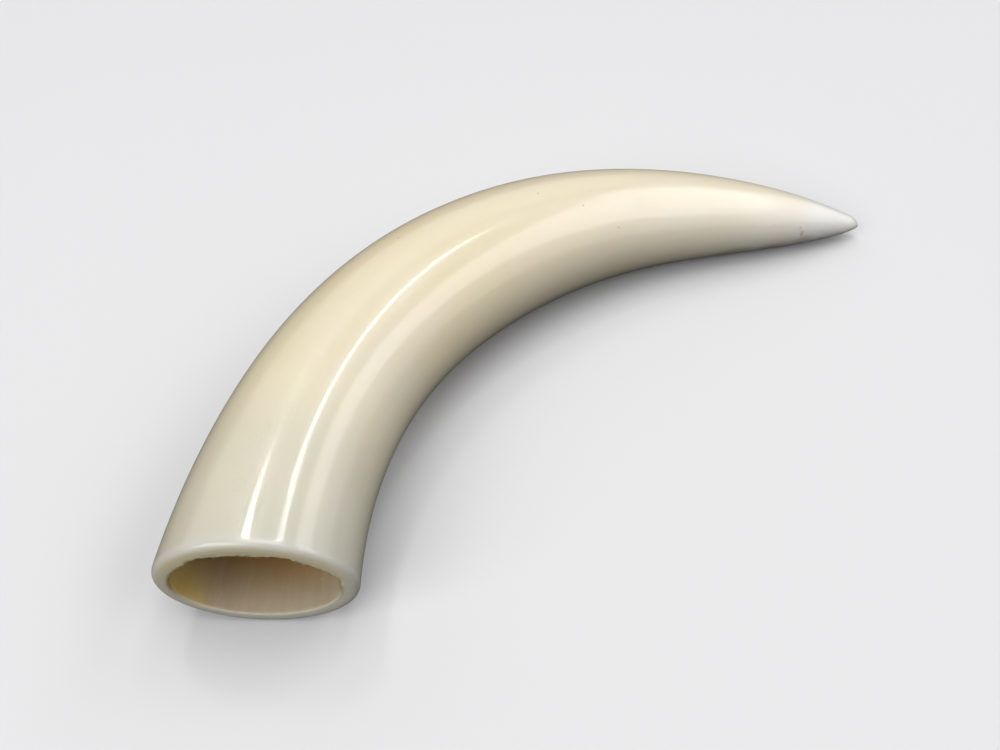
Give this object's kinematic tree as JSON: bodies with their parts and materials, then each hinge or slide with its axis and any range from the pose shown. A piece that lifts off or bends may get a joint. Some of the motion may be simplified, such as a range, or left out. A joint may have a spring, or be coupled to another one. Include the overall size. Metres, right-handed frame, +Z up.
{
  "type": "whale tooth",
  "caption": "Polished whale tooth lying on its side: a bent oval horn that tapers to a point, with an open, tapering hollow in its root.",
  "frame": {"origin": "bottom centre of the tooth's box, on the surface that it lies on", "axes": "-Y out of the root's flat face, +X towards the point, +Z up from the surface"},
  "size_m": [0.1094, 0.0816, 0.021],
  "materials": {
    "polished_ivory": "gloss"
  },
  "bodies": {
    "root": {"whale_tooth": "polished_ivory"}
  },
  "joints": []
}
